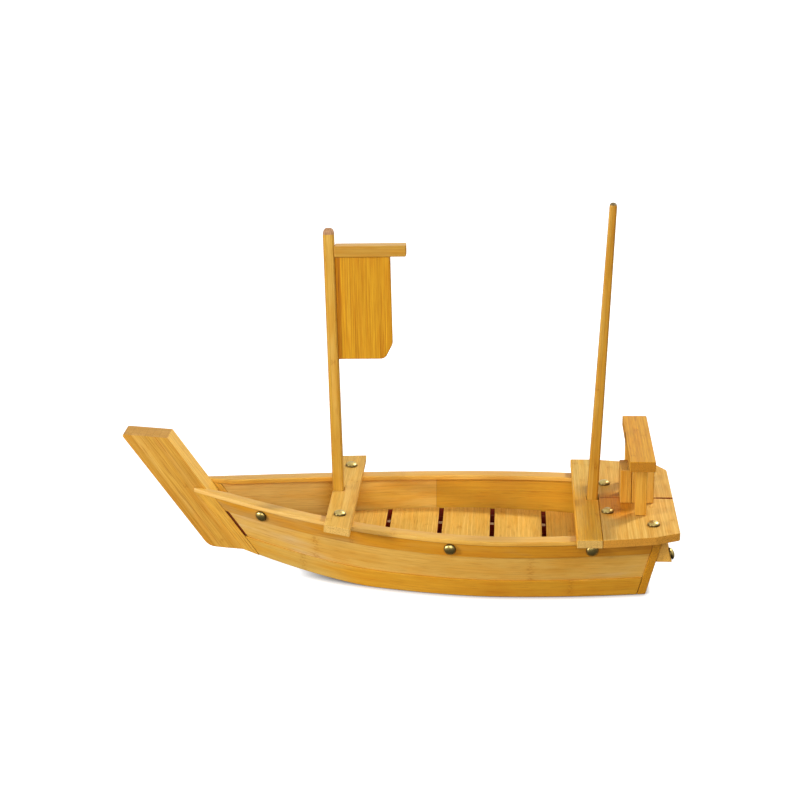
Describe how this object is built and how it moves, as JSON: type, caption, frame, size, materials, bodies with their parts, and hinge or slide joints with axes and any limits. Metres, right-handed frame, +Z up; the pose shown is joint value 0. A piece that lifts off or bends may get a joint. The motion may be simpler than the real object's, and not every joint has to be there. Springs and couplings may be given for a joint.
{
  "type": "sushi boat",
  "caption": "Boat-shaped bamboo serving tray with a planked hull, slatted well, raked stem, stern deck with a roofed deckhouse, and masts that lift out, one with a board sail.",
  "frame": {"origin": "on the table under the middle of the overall length and breadth", "axes": "+X aft, from the stem to the stern deck; +Y to starboard; +Z up from the flat bottom"},
  "size_m": [0.52, 0.207, 0.3521],
  "materials": {
    "bamboo": "gloss varnish",
    "bamboo_pale": "gloss varnish",
    "bamboo_deep": "gloss varnish",
    "brass": "antiqued"
  },
  "bodies": {
    "hull": {"aft_thwart": "bamboo_pale", "bottom_board": "bamboo", "deck_beam": "bamboo", "deck_plank_port": "bamboo_pale", "deck_plank_starboard": "bamboo_pale", "deck_tack_inner_port": "brass", "deck_tack_inner_starboard": "brass", "deck_tack_outer_port": "brass", "deck_tack_outer_starboard": "brass", "floor_bearer_port": "bamboo", "floor_bearer_starboard": "bamboo", "floor_slat_1": "bamboo_pale", "floor_slat_2": "bamboo_pale", "floor_slat_3": "bamboo_pale", "floor_slat_4": "bamboo_pale", "floor_slat_5": "bamboo_pale", "floor_slat_6": "bamboo_pale", "front_thwart": "bamboo_pale", "house_pier_aft": "bamboo", "house_pier_fore": "bamboo", "house_pier_middle": "bamboo", "house_post_port": "bamboo", "house_post_starboard": "bamboo", "house_roof": "bamboo_pale", "lower_strake_port": "bamboo_deep", "lower_strake_starboard": "bamboo_deep", "middle_strake_port": "bamboo", "middle_strake_starboard": "bamboo", "rail_cap_port": "bamboo_pale", "rail_cap_starboard": "bamboo_pale", "sheer_strake_port": "bamboo_deep", "sheer_strake_starboard": "bamboo_deep", "side_tack_aft_port": "brass", "side_tack_aft_starboard": "brass", "side_tack_fore_port": "brass", "side_tack_fore_starboard": "brass", "side_tack_mid_port": "brass", "side_tack_mid_starboard": "brass", "stem_cheek_port": "bamboo", "stem_cheek_starboard": "bamboo", "stem_post": "bamboo", "stern_beam": "bamboo", "stern_tack_port": "brass", "stern_tack_starboard": "brass", "thwart_tack_port": "brass", "thwart_tack_starboard": "brass", "transom": "bamboo_deep"},
    "front_mast_rig": {"front_mast": "bamboo", "yard": "bamboo_pale", "sail_board": "bamboo"},
    "rear_mast_rig": {"rear_mast": "bamboo"}
  },
  "joints": [
    {"name": "front_mast_lift", "type": "slide", "parent": "hull", "child": "front_mast_rig", "axis": [-0.011, 0, 0.9999], "range_m": [0, 0.066]},
    {"name": "rear_mast_lift", "type": "slide", "parent": "hull", "child": "rear_mast_rig", "axis": [0.049, 0, 0.9988], "range_m": [0, 0.062]}
  ]
}
